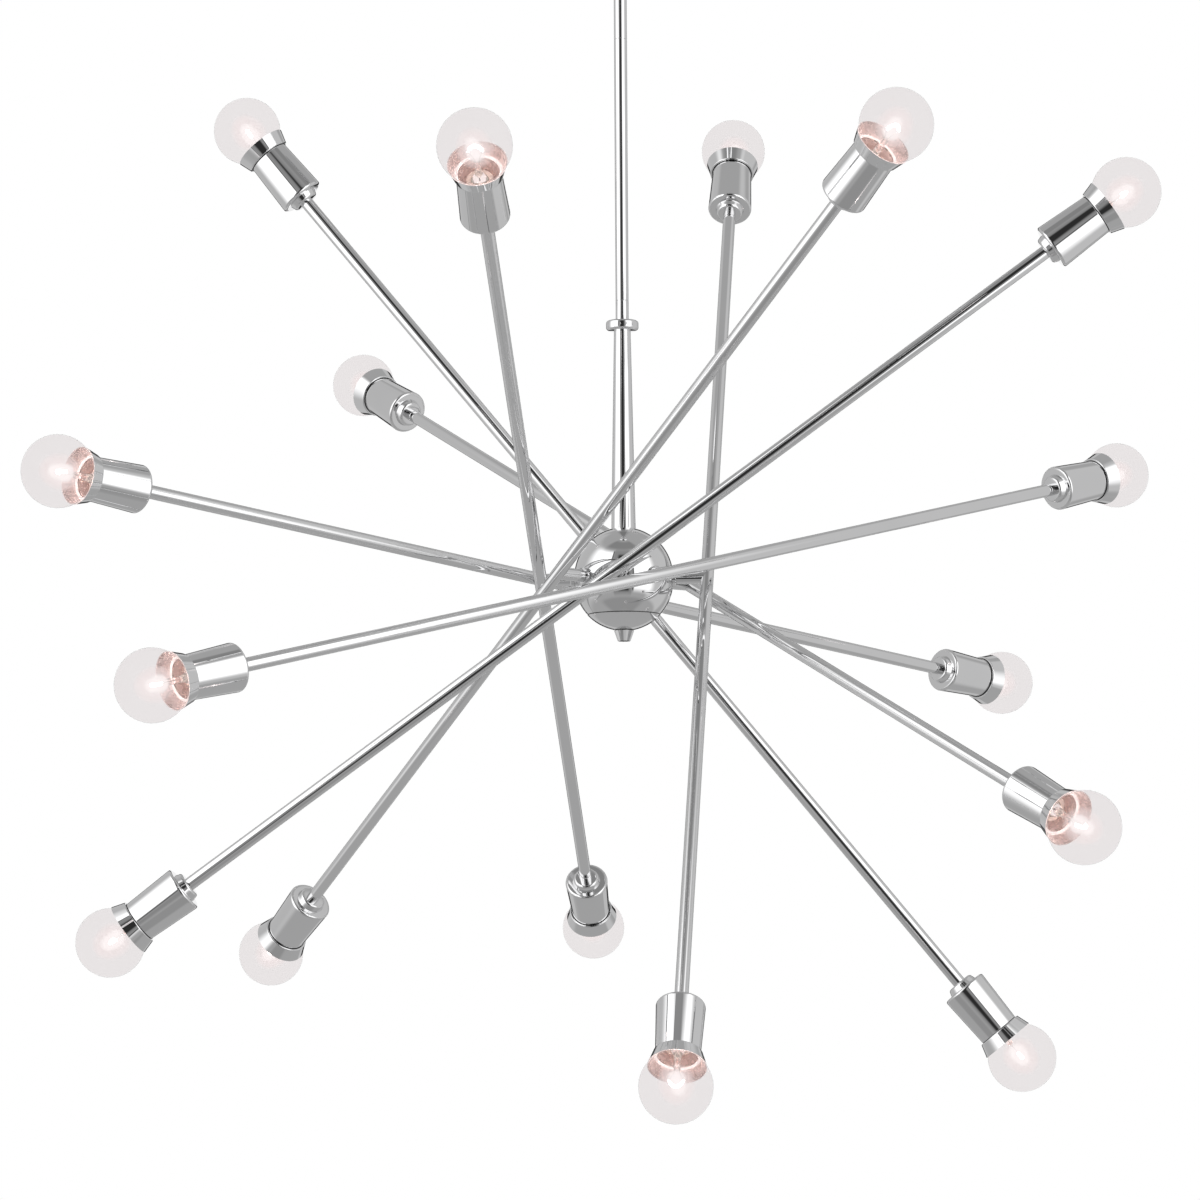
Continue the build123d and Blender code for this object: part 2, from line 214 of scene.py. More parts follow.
def makeWearGroup():
    group = bpy.data.node_groups.new("fineWear", "ShaderNodeTree")
    for label, value in (("Marks Scale", 400.0), ("Cloud Scale", 25.0), ("Low", 0.03), ("High", 0.08)):
        socket = group.interface.new_socket(name=label, in_out="INPUT", socket_type="NodeSocketFloat")
        socket.default_value = value
    for label in ("Roughness", "Height", "Mask"):
        group.interface.new_socket(name=label, in_out="OUTPUT", socket_type="NodeSocketFloat")
    nodes, links = group.nodes, group.links
    start, end = nodes.new("NodeGroupInput"), nodes.new("NodeGroupOutput")
    place = nodes.new("ShaderNodeTexCoord")
    marks, cloud = nodes.new("ShaderNodeTexNoise"), nodes.new("ShaderNodeTexNoise")
    marks.inputs["Detail"].default_value = wearLook["marksDetail"]
    cloud.inputs["Detail"].default_value = wearLook["cloudDetail"]
    blend = nodes.new("ShaderNodeMath")
    blend.operation = "MULTIPLY"
    spread = nodes.new("ShaderNodeMapRange")
    spread.inputs["From Min"].default_value = wearLook["leastWear"]
    spread.inputs["From Max"].default_value = wearLook["mostWear"]
    for noise, label in ((marks, "Marks Scale"), (cloud, "Cloud Scale")):
        links.new(place.outputs["Object"], noise.inputs["Vector"])
        links.new(start.outputs[label], noise.inputs["Scale"])
    links.new(marks.outputs["Fac"], blend.inputs[0])
    links.new(cloud.outputs["Fac"], blend.inputs[1])
    links.new(blend.outputs["Value"], spread.inputs["Value"])
    links.new(start.outputs["Low"], spread.inputs["To Min"])
    links.new(start.outputs["High"], spread.inputs["To Max"])
    links.new(spread.outputs["Result"], end.inputs["Roughness"])
    links.new(marks.outputs["Fac"], end.inputs["Height"])
    links.new(cloud.outputs["Fac"], end.inputs["Mask"])
    return group


wearGroup = makeWearGroup()


def addWear(tree, look):
    # the wear group with a finish's own scales and roughness
    wear = tree.nodes.new("ShaderNodeGroup")
    wear.node_tree = wearGroup
    for label, key in (("Marks Scale", "marks"), ("Cloud Scale", "cloud"), ("Low", "low"), ("High", "high")):
        if key in look:
            wear.inputs[label].default_value = look[key]
    return wear


def addTone(tree, dark, light, mask):
    # a colour between dark and light, by the mask
    tone = tree.nodes.new("ShaderNodeMix")
    tone.data_type = "RGBA"
    tone.inputs["A"].default_value = (*dark, 1)
    tone.inputs["B"].default_value = (*light, 1)
    tree.links.new(mask, tone.inputs["Factor"])
    return tone.outputs["Result"]


def addNoise(tree, scale):
    place, noise = tree.nodes.new("ShaderNodeTexCoord"), tree.nodes.new("ShaderNodeTexNoise")
    noise.inputs["Scale"].default_value = scale
    tree.links.new(place.outputs["Object"], noise.inputs["Vector"])
    return noise.outputs["Fac"]


def addShine(tree, shader, colour, strength):
    shader.inputs["Emission Strength"].default_value = strength
    tree.links.new(colour, shader.inputs["Emission Color"])


# each metal: its two tones, the scale of its marks and clouds, lowest and highest roughness, and relief
metalLooks = {
    "polishedChrome": {"dark": (0.76, 0.76, 0.765), "light": (0.82, 0.82, 0.825), "marks": 300, "cloud": 18,
                       "low": 0.012, "high": 0.035, "bump": 0.008},
    # inside cup and collar: painted lamplight, in the warm rose tones as well as in the shine, which is the lamplight
    # that passes to and fro between the walls
    "warmLitChrome": {"dark": (0.74, 0.60, 0.565), "light": (0.99, 0.88, 0.86), "marks": 220, "cloud": 210,
                      "low": 0.22, "high": 0.38, "bump": 0.10, "metal": 0.5, "shine": 0.13},
    # painted highlight: a bright line of lamplight caught on the bead
    "litBead": {"dark": (0.95, 0.84, 0.81), "light": (1.0, 0.94, 0.92), "marks": 240, "cloud": 160,
                "low": 0.2, "high": 0.3, "bump": 0.05, "metal": 0.3, "shine": 0.45},
    "zincSteel": {"dark": (0.50, 0.50, 0.48), "light": (0.66, 0.66, 0.64), "marks": 220, "cloud": 60,
                  "low": 0.28, "high": 0.45, "bump": 0.15},
    # painted shade for the dark seams and gaps between parts
    "seamShade": {"dark": (0.03, 0.03, 0.03), "light": (0.10, 0.10, 0.10), "marks": 300, "cloud": 60,
                  "low": 0.25, "high": 0.4, "bump": 0.05},
    "nickelBase": {"dark": (0.60, 0.56, 0.50), "light": (0.74, 0.70, 0.62), "marks": 320, "cloud": 80,
                   "low": 0.18, "high": 0.3, "bump": 0.1},
}
reliefDepth = 0.0002


# a metal with fine wear; some looks also carry painted lamplight or painted shade in their tones and shine
def wornOrPaintedLightMetal(name):
    look = metalLooks[name]
    material, tree, shader = newMaterial(name)
    wear = addWear(tree, look)
    tone = addTone(tree, look["dark"], look["light"], wear.outputs["Mask"])
    relief = tree.nodes.new("ShaderNodeBump")
    relief.inputs["Strength"].default_value = look["bump"]
    relief.inputs["Distance"].default_value = reliefDepth
    shader.inputs["Metallic"].default_value = look.get("metal", 1)
    tree.links.new(tone, shader.inputs["Base Color"])
    tree.links.new(wear.outputs["Roughness"], shader.inputs["Roughness"])
    tree.links.new(wear.outputs["Height"], relief.inputs["Height"])
    tree.links.new(relief.outputs["Normal"], shader.inputs["Normal"])
    if "shine" in look:
        addShine(tree, shader, tone, look["shine"])
    return material


# clear glass with slow clouds of tint, as in blown glass; shine is the filament's light caught in the mount
glassLooks = {
    "globeGlass": {"bend": 1.02, "dark": (0.893, 0.873, 0.874), "light": (0.905, 0.889, 0.889), "cloud": 30},
    "mountGlass": {"bend": 1.5, "dark": (0.96, 0.84, 0.81), "light": (1.0, 0.97, 0.96), "cloud": 30, "shine": 0.07},
}


def makeGlass(name):
    look = glassLooks[name]
    material, tree, shader = newMaterial(name)
    shader.inputs["Transmission Weight"].default_value = 1
    shader.inputs["Roughness"].default_value = 0
    shader.inputs["IOR"].default_value = look["bend"]
    tint = addTone(tree, look["dark"], look["light"], addWear(tree, look).outputs["Mask"])
    tree.links.new(tint, shader.inputs["Base Color"])
    if "shine" in look:
        addShine(tree, shader, tint, look["shine"])
    return material


# the socket's tone, lighter and warmer than the ceramic's own: partly its own colour, partly painted lamplight
lampLitCeramicLook = {"dark": (0.90, 0.66, 0.56), "light": (0.98, 0.84, 0.77), "marks": 260, "cloud": 60,
               "low": 0.35, "high": 0.6}


def makeLampLitCeramic():
    material, tree, shader = newMaterial("lampLitSocketCeramic")
    wear = addWear(tree, lampLitCeramicLook)
    tone = addTone(tree, lampLitCeramicLook["dark"], lampLitCeramicLook["light"], wear.outputs["Mask"])
    tree.links.new(tone, shader.inputs["Base Color"])
    tree.links.new(wear.outputs["Roughness"], shader.inputs["Roughness"])
    return material


filamentLook = {"base": (0.9, 0.85, 0.8), "dark": (1.0, 0.86, 0.80), "light": (1.0, 0.96, 0.93), "noise": 900,
                "shine": 30}


def makeFilament():
    material, tree, shader = newMaterial("litFilament")
    shader.inputs["Base Color"].default_value = (*filamentLook["base"], 1)
    heat = addTone(tree, filamentLook["dark"], filamentLook["light"], addNoise(tree, filamentLook["noise"]))
    addShine(tree, shader, heat, filamentLook["shine"])
    return material


# light round the filament: full where the shell faces the eye, gone at its outline
glowLooks = {
    "filamentGlare": {"dark": (1.0, 0.94, 0.93), "light": (1.0, 1.0, 1.0), "noise": 160, "shine": 1.18,
                      "fullest": 0.8, "reach": 0.6},
    "roseHalo": {"dark": (1.0, 0.85, 0.84), "light": (1.0, 0.93, 0.92), "noise": 160, "shine": 1.02,
                 "fullest": 0.38, "reach": 0.75},
}


def makeGlow(name):
    look = glowLooks[name]
    material, tree, shader = newMaterial(name)
    shader.inputs["Base Color"].default_value = (0, 0, 0, 1)
    shader.inputs["Roughness"].default_value = 1
    shader.inputs["Specular IOR Level"].default_value = 0
    addShine(tree, shader, addTone(tree, look["dark"], look["light"], addNoise(tree, look["noise"])), look["shine"])
    facing, fade = tree.nodes.new("ShaderNodeLayerWeight"), tree.nodes.new("ShaderNodeMapRange")
    facing.inputs["Blend"].default_value = 0.5
    fade.interpolation_type = "SMOOTHSTEP"
    fade.inputs["From Min"].default_value = 0
    fade.inputs["From Max"].default_value = look["reach"]
    fade.inputs["To Min"].default_value = look["fullest"]
    fade.inputs["To Max"].default_value = 0
    tree.links.new(facing.outputs["Facing"], fade.inputs["Value"])
    tree.links.new(fade.outputs["Result"], shader.inputs["Alpha"])
    return material


chrome, paintedLampLightChrome, litBead = wornOrPaintedLightMetal("polishedChrome"), wornOrPaintedLightMetal("warmLitChrome"), wornOrPaintedLightMetal("litBead")
zincSteel, seamShadeMetal, nickel = wornOrPaintedLightMetal("zincSteel"), wornOrPaintedLightMetal("seamShade"), wornOrPaintedLightMetal("nickelBase")
globeGlass, mountGlass = makeGlass("globeGlass"), makeGlass("mountGlass")
lampLitCeramic, litFilament = makeLampLitCeramic(), makeFilament()
brightGlow, roseGlow = makeGlow("filamentGlare"), makeGlow("roseHalo")
print("materials made")


# the CAD nodes that stay get their finish by their slot
slotFinish = {"chrome": chrome, "zinc_steel": zincSteel, "lampholder": lampLitCeramic, "clear_glass": globeGlass}
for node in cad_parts.values():
    for place in node.material_slots:
        place.material = slotFinish[place.material.name.split(".")[0]]
print("CAD nodes painted")


# one lamp, modelled once with its axis on Z and its height measured from the rod's middle
cupSizes = {"back": 0.404, "mouth": 0.4467, "backRadius": 0.01775, "mouthRadius": 0.016, "wall": 0.001,
            "bossTop": 0.0099, "bossFoot": 0.0116, "bossBack": 0.399, "hole": 0.0041,
            "backRound": 0.0022, "bossRound": 0.0016, "lipRound": 0.0006,
            "bossLoop": 0.4, "backLoop": 0.0026, "footLoop": 0.061, "mouthLoop": 0.975, "litFloor": 0.002}


def makeCup():
    size = cupSizes
    inside = size["wall"]
    bossStart, bossEnd = (size["bossTop"], size["bossBack"]), (size["bossFoot"], size["back"])
    wallFoot, wallMouth = (size["backRadius"], size["back"]), (size["mouthRadius"], size["mouth"])
    cup = turnedPiece("cup", [
        (size["hole"], size["bossBack"]),
        bossStart,
        wallPoint(size["bossLoop"], *bossStart, *bossEnd),
        bossEnd,
        (size["backRadius"] - size["backLoop"], size["back"]),
        wallFoot,
        wallPoint(size["footLoop"], *wallFoot, *wallMouth),
        wallPoint(size["mouthLoop"], *wallFoot, *wallMouth),
        wallMouth,
        (size["mouthRadius"] - inside, size["mouth"]),
        (size["backRadius"] - inside, size["back"] + inside),
        (size["hole"], size["back"] + inside),
    ])
    roundRims(cup, [wallFoot], size["backRound"], 6)
    roundRims(cup, [bossStart], size["bossRound"], 6)
    roundRims(cup, [wallMouth], size["lipRound"], 3)
    smooth(cup)
    cup.data.materials.append(chrome)
    # the inside walls and floor of the cup take the painted lamplight
    paintWhere(cup, paintedLampLightChrome, lambda c, n: c.z > size["back"] and (
        facesAxis(c, n) or n.z > 0.9 and c.z < size["back"] + size["litFloor"]))
    return cup


# joint is how far out the painted shade in the gap behind the collar shows; the bead runs round the foot of the flare
# and carries a painted highlight
collarSizes = {"back": 0.4467, "mouth": 0.457, "backRadius": 0.01775, "mouthRadius": 0.021, "wall": 0.0008,
               "hole": 0.0146, "joint": 0.0166, "backRound": 0.0005, "rimLoop": 0.08,
               "bead": 0.00045, "beadTop": 0.7, "beadFoot": 1.7}


def makeCollar():
    size = collarSizes
    inner, floorHeight, bead = size["backRadius"] - size["wall"], size["back"] + size["wall"], size["bead"]
    flareFoot, flareMouth = (size["backRadius"], size["back"]), (size["mouthRadius"], size["mouth"])
    collar = turnedPiece("collar", [
        (size["hole"], size["back"]),
        (size["joint"], size["back"]),
        flareFoot,
        wallPoint(size["rimLoop"], *flareFoot, *flareMouth),
        flareMouth,
        (size["mouthRadius"] - size["wall"], size["mouth"]),
        (inner, floorHeight + bead),
        (inner - bead * size["beadTop"], floorHeight + bead),
        (inner - bead * size["beadFoot"], floorHeight),
        (size["hole"], floorHeight),
    ])
    roundRims(collar, [flareFoot], size["backRound"], 3)
    smooth(collar)
    collar.data.materials.append(chrome)
    litStart, beadEnd = floorHeight - size["wall"] * 0.1, floorHeight + bead + gaps["rim"] / 2
    # the inside of the collar takes the painted lamplight
    paintWhere(collar, paintedLampLightChrome, lambda c, n: c.z > litStart and (facesAxis(c, n) or n.z > 0.5))
    # painted shade in the gap at the joint behind the collar
    paintWhere(collar, seamShadeMetal, lambda c, n: n.z < -0.6 and math.hypot(c.x, c.y) < size["joint"])
    # painted highlight on the bead
    paintWhere(collar, litBead, lambda c, n: floorHeight < c.z <= beadEnd and math.hypot(c.x, c.y) < inner)
    return collar


globeSizes = {"centre": 0.47402, "radius": 0.0262, "mouth": 0.452, "bendRadius": 0.0098, "bendHeight": 0.4462,
              "neckRadius": 0.0066, "neckBack": 0.4412, "wall": 0.0003}


def makeGlobe():
    # a ball cut off at its mouth and drawn in to a neck, with a thin wall
    size = globeSizes
    clearSelection()
    bpy.ops.mesh.primitive_uv_sphere_add(segments=64, ring_count=32, radius=size["radius"],
                                         location=(0, 0, size["centre"]))
    globe = bpy.context.object
    globe.name = "globe"
    atOrigin(globe)
    bpy.ops.object.mode_set(mode="EDIT")
    bpy.ops.mesh.select_all(action="SELECT")
    bpy.ops.mesh.bisect(plane_co=(0, 0, size["mouth"]), plane_no=(0, 0, 1), clear_inner=True)
    bpy.ops.mesh.select_all(action="DESELECT")
    bpy.ops.object.mode_set(mode="OBJECT")
    mouthRadius = math.sqrt(size["radius"] ** 2 - (size["centre"] - size["mouth"]) ** 2)
    selectRims(globe, [(mouthRadius, size["mouth"])])
    bpy.ops.object.mode_set(mode="EDIT")
    bpy.ops.mesh.select_mode(type="EDGE")
    growLoop(mouthRadius, size["mouth"], size["bendRadius"], size["bendHeight"])
    growLoop(size["bendRadius"], size["bendHeight"], size["neckRadius"], size["neckBack"])
    closeUp()
    bpy.ops.object.mode_set(mode="OBJECT")
    wall = globe.modifiers.new("glassWall", "SOLIDIFY")
    wall.thickness = size["wall"]
    wall.offset = -1
    bpy.ops.object.modifier_apply(modifier=wall.name)
    smooth(globe, 50)
    globe.data.materials.append(globeGlass)
    globe.visible_shadow = False  # clear glass holds back next to none of the filament's light
    return globe


# crest and root are shares of a thread's pitch; the other heights are measured from the tip
baseSizes = {"tip": 0.4242, "mouth": 0.4412, "radius": 0.0059, "bore": 0.0015, "contactRadius": 0.0045,
             "contactTop": 0.0015, "shoulderRadius": 0.0048, "shoulderTop": 0.003, "threadStart": 0.0032,
             "threadSpare": 0.004, "threadDepth": 0.0006, "turns": 6, "crest": 0.35, "root": 0.85, "rim": 0.0004}


def makeLampBase():
    size = baseSizes
    tip, mouth, radius = size["tip"], size["mouth"], size["radius"]
    pitch = (mouth - tip - size["threadSpare"]) / size["turns"]
    profile = [(size["bore"], tip), (size["contactRadius"], tip + size["contactTop"]),
               (size["shoulderRadius"], tip + size["shoulderTop"])]
    for turn in range(size["turns"]):
        low = tip + size["threadStart"] + turn * pitch
        profile += [(radius, low + pitch * size["crest"]), (radius - size["threadDepth"], low + pitch * size["root"])]
    profile += [(radius, mouth - size["rim"]), (radius, mouth), (size["bore"], mouth)]
    base = turnedPiece("lampBase", profile, 40)
    smooth(base, 60)
    base.data.materials.append(nickel)
    return base


# the glass mount from its foot to the pinch that holds the wires, as (radius, height)
stemProfile = [(0.0008, 0.4416), (0.0052, 0.4416), (0.0046, 0.4440), (0.0030, 0.4475), (0.0022, 0.4520),
               (0.0021, 0.4560), (0.0026, 0.4585), (0.0022, 0.4605), (0.0008, 0.4612)]


def makeLampStem():
    stem = turnedPiece("lampStem", stemProfile, 28)
    smooth(stem, 60)
    stem.data.materials.append(mountGlass)
    stem.visible_shadow = False
    return stem


# two leads rise from the mount, and the coiled wire hangs in an arc between their ends
filamentSizes = {"foot": 0.4560, "footAside": 0.0012, "bend": 0.4602, "bendAside": 0.0013, "end": 0.4695,
                 "endAside": 0.0052, "leadWire": 0.00028, "coil": 0.0010, "coilWire": 0.00045, "rise": 0.0045,
                 "turns": 11, "steps": 60}


def makeWireRun(name, points, radius, material):
    # one point drawn out into a chain of edges, which then becomes a round wire
    clearSelection()
    bpy.ops.mesh.primitive_plane_add(size=radius, location=points[0])
    run = bpy.context.object
    run.name = name
    bpy.ops.object.mode_set(mode="EDIT")
    bpy.ops.mesh.select_mode(type="VERT")
    bpy.ops.mesh.select_all(action="SELECT")
    bpy.ops.mesh.merge(type="CENTER")
    for place, following in zip(points, points[1:]):
        step = Vector(following) - Vector(place)
        bpy.ops.mesh.extrude_region_move(TRANSFORM_OT_translate={"value": step})
    bpy.ops.object.mode_set(mode="OBJECT")
    bpy.ops.object.convert(target="CURVE")
    run = bpy.context.object
    run.data.bevel_depth = radius
    run.data.bevel_resolution = 2
    bpy.ops.object.convert(target="MESH")
    run = bpy.context.object
    atOrigin(run)
    run.data.materials.clear()
    run.data.materials.append(material)
    return run


def makeFilamentPiece():
    size = filamentSizes
    runs = []
    for side in (-1, 1):
        lead = [(side * size["footAside"], 0, size["foot"]), (side * size["bendAside"], 0, size["bend"]),
                (side * size["endAside"], 0, size["end"])]
        runs.append(makeWireRun("lead", lead, size["leadWire"], zincSteel))
    arc = []
    for step in range(size["steps"] + 1):
        share = step / size["steps"]
        lift = size["rise"] * (1 - (2 * share - 1) ** 2)
        turn = share * 2 * math.pi * size["turns"]
        arc.append((size["endAside"] * (2 * share - 1), size["coil"] * math.cos(turn),
                    size["end"] + lift + size["coil"] * math.sin(turn)))
    runs.append(makeWireRun("coil", arc, size["coilWire"], litFilament))
    mount = joinPieces(runs, "filament")
    smooth(mount, 60)
    return mount


# two soft shells of light, each with its far part drawn out in steps: reach along the lamp, aside across it
glowSizes = {
    "core": {"radius": 0.0086, "height": 0.4690, "reach": 0.0045, "narrow": 0.95, "aside": 0.0016},
    "halo": {"radius": 0.0150, "height": 0.4715, "reach": 0.0025, "narrow": 0.97, "aside": 0.0008},
    "steps": (0.05, 0.35, 0.65),
}


def makeGlowShell(size, material):
    # a ball whose far half is drawn out, narrowed and pushed aside, like the light round a bent wire
    clearSelection()
    bpy.ops.mesh.primitive_uv_sphere_add(segments=32, ring_count=16, radius=size["radius"],
                                         location=(0, 0, size["height"]))
    shell = bpy.context.object
    atOrigin(shell)
    stepCount = len(glowSizes["steps"])
    for share in glowSizes["steps"]:
        level = size["height"] + size["radius"] * share
        selectFaces(shell, lambda centre: centre.z > level)
        bpy.ops.object.mode_set(mode="EDIT")
        bpy.ops.mesh.select_mode(type="FACE")
        bpy.ops.transform.translate(value=(size["aside"] / stepCount, 0, size["reach"] / stepCount))
        bpy.ops.transform.resize(value=(size["narrow"], size["narrow"], 1),
                                 center_override=(size["aside"] * share, 0, level))
        bpy.ops.object.mode_set(mode="OBJECT")
    smooth(shell, 80)
    shell.data.materials.append(material)
    return shell


def makeGlowShells():
    shells = [makeGlowShell(glowSizes["core"], brightGlow), makeGlowShell(glowSizes["halo"], roseGlow)]
    glow = joinPieces(shells, "filamentGlow")
    glow.visible_shadow = glow.visible_diffuse = False
    return glow


# each model with the CAD node that it replaces on every arm, and its slot
lampModels = {
    "Cups": (makeCup(), "cups", "chrome"),
    "Collars": (makeCollar(), "collars", "chrome"),
    "Globes": (makeGlobe(), "bulbs", "clear_glass"),
    "LampBases": (makeLampBase(), "bulbs", "clear_glass"),
    "LampStems": (makeLampStem(), "bulbs", "clear_glass"),
    "Filaments": (makeFilamentPiece(), "bulbs", "clear_glass"),
    "Glows": (makeGlowShells(), "bulbs", "clear_glass"),
}
print("lamp modelled")


def endPlace(azimuth, tilt, end):
    # carries a lamp from its own axis to one end of a rod, the raised one (1) or the lowered one (-1)
    azimuth, tilt = math.radians(azimuth), math.radians(tilt)
    outward = Vector((math.sin(azimuth), -math.cos(azimuth), 0))
    along = Vector((math.cos(azimuth) * math.cos(tilt), math.sin(azimuth) * math.cos(tilt), math.sin(tilt))) * end
    across = along.cross(outward)
    turn = Matrix((outward, across, along)).transposed().to_4x4()
    return Matrix.Translation(hub + outward * rodOffset) @ turn


def pairedCopy(model, name, places):
    copies = []
    for place in places:
        copy = model.copy()
        copy.data = model.data.copy()
        copy.data.transform(place)
        bpy.context.scene.collection.objects.link(copy)
        copies.append(copy)
    return joinPieces(copies, name)


for number, (azimuth, tilt) in enumerate(arms, 1):
    places = [endPlace(azimuth, tilt, 1), endPlace(azimuth, tilt, -1)]
    for kind, (model, node, finish) in lampModels.items():
        pair = pairedCopy(model, f"arm{number}{kind}", places)
        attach(pair, f"arm_{number}")
        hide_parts(f"arm_{number}_{node}")
for entry in lampModels.values():
    bpy.data.objects.remove(entry[0])
print("sixteen lamps placed")


# check ring over the stem, heights measured from the hub
ringSizes = {"low": 0.1916, "high": 0.1994, "radius": 0.0125, "neckRadius": 0.005, "neckTop": 0.2148,
             "bore": 0.004, "lowRound": 0.0026, "highRound": 0.0022, "neckRound": 0.0003}


def makeCheckRing():
    size = ringSizes
    lowRim, highRim = (size["radius"], size["low"]), (size["radius"], size["high"])
    neckRim = (size["neckRadius"], size["neckTop"])
    ring = turnedPiece("checkRing", [(size["bore"], size["low"]), lowRim, highRim, (size["neckRadius"], size["high"]),
                                     neckRim, (size["bore"], size["neckTop"])], 72)
    roundRims(ring, [lowRim], size["lowRound"], 6)
    roundRims(ring, [highRim], size["highRound"], 6)
    roundRims(ring, [neckRim], size["neckRound"], 2)
    smooth(ring)
    ring.data.materials.append(chrome)
    ring.data.transform(Matrix.Translation(hub))
    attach(ring, "body")
    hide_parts("check_ring")


makeCheckRing()
print("check ring made")


# the ball's cap, with the shaded seams above and below it, heights measured from the hub
capSizes = {"radius": 0.0383, "centre": -0.0017, "wall": 0.0019, "seam": -0.0272, "edge": -0.0280,
            "seamInset": 0.0003, "foot": 0.00775, "footGap": 0.0006, "neck": 0.00715, "hole": 0.0062,
            "outerSteps": 24, "innerSteps": 12}


def makeHubCap():
    size = capSizes
    outer, inner, centre = size["radius"], size["radius"] - size["wall"], size["centre"]
    start, stop = math.asin((centre - size["edge"]) / outer), math.acos(size["foot"] / outer)
    profile = [(outer * math.cos(start) - size["seamInset"], size["seam"])]
    for step in range(size["outerSteps"] + 1):
        angle = start + (stop - start) * step / size["outerSteps"]
        profile.append((outer * math.cos(angle), centre - outer * math.sin(angle)))
    seat = profile[-1][1]
    profile += [(size["neck"], seat), (size["neck"], seat - size["footGap"]), (size["hole"], seat - size["footGap"])]
    holeAngle, seamAngle = math.acos(size["hole"] / inner), math.asin((centre - size["seam"]) / inner)
    for step in range(size["innerSteps"] + 1):
        angle = holeAngle * (1 - step / size["innerSteps"]) + seamAngle * step / size["innerSteps"]
        profile.append((inner * math.cos(angle), centre - inner * math.sin(angle)))
    cap = turnedPiece("hubCap", profile, 128)
    smooth(cap)
    cap.data.materials.append(chrome)
    # painted shade in the seam at the cap's edge and in the gap round the finial's neck
    paintWhere(cap, seamShadeMetal,
               lambda c, n: c.z > size["edge"] or c.z < seat and math.hypot(c.x, c.y) < size["foot"])
    cap.data.transform(Matrix.Translation(hub))
    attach(cap, "body")
    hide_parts("hub_cap")


makeHubCap()
print("hub cap made")


# studio: floor, white surround, reflecting tent and lamp
studio = {"diffuseLight": 0.85, "surround": 0.43}
floorLook = {"height": -2.6, "radius": 7.0, "fullWithin": 1.6, "goneBeyond": 4.5, "tone": 0.82, "roughness": 0.9}
# what the polished metal sees: degrees round from the front and above the level, with the soft width of each edge
tentLights = [
    {"strength": 0.56, "round": (-150, -66), "roundSoft": (12, 14), "above": (-32, 56), "aboveSoft": (14, 12)},
    {"strength": 0.62, "round": (66, 134), "roundSoft": (14, 12), "above": (-38, 58), "aboveSoft": (8, 12)},
    {"strength": 0.05, "round": (-27, -22.5), "roundSoft": (1.5, 1.5), "above": (-24, 53), "aboveSoft": (6, 5)},
    {"strength": 0.05, "round": (26, 30.5), "roundSoft": (1.5, 1.5), "above": (-26, 47), "aboveSoft": (6, 5)},
    {"strength": 1.55, "round": (-84, -26), "roundSoft": (40, 3), "above": (-22, 51), "aboveSoft": (22, 13)},
    {"strength": 1.55, "round": (29.5, 76), "roundSoft": (3, 22), "above": (-24, 45), "aboveSoft": (20, 14)},
    {"strength": 0.27, "round": (-64, 62), "roundSoft": (24, 24), "above": (59, 81), "aboveSoft": (8, 10)},
    {"strength": 0.33, "round": (-66, 66), "roundSoft": (24, 24), "above": (-76, -42), "aboveSoft": (10, 10)},
    {"strength": 0.29, "round": (-21, 25), "roundSoft": (5, 4), "above": (-36, 58), "aboveSoft": (14, 18)},
    {"strength": 0.03, "round": (-9, 18), "roundSoft": (9, 6), "above": (-28, 45), "aboveSoft": (8, 8)},
]
# two shells: the near one carries the lights, the far one the dark rim round the white back
tentShells = {"near": {"radius": 1.5, "fromBack": (42, 181)}, "far": {"radius": 3.1, "fromBack": (13, 60)}}
darkRim = {"fromBack": 27, "soft": 4, "strength": 0.03, "beyond": 0.58}
overheadLamp = {"place": (-0.6, -0.8, 1.6), "size": 1.6, "power": 14}


def whiteSurround():
    # white to the camera, in reflections and through glass, and a little less as light
    world = bpy.data.worlds.new("whiteSurround")
    bpy.context.scene.world = world
    world.use_nodes = True
    tree = world.node_tree
    tree.nodes.clear()
    path, shade = tree.nodes.new("ShaderNodeLightPath"), tree.nodes.new("ShaderNodeBackground")
    seen, seenToo = tree.nodes.new("ShaderNodeMath"), tree.nodes.new("ShaderNodeMath")
    out = tree.nodes.new("ShaderNodeOutputWorld")
    seen.operation = seenToo.operation = "MAXIMUM"
    tree.links.new(path.outputs["Is Camera Ray"], seen.inputs[0])
    tree.links.new(path.outputs["Is Glossy Ray"], seen.inputs[1])
    tree.links.new(seen.outputs["Value"], seenToo.inputs[0])
    tree.links.new(path.outputs["Is Transmission Ray"], seenToo.inputs[1])
    tone = addTone(tree, [studio["diffuseLight"]] * 3, (1, 1, 1), seenToo.outputs["Value"])
    tree.links.new(tone, shade.inputs["Color"])
    tree.links.new(shade.outputs["Background"], out.inputs["Surface"])


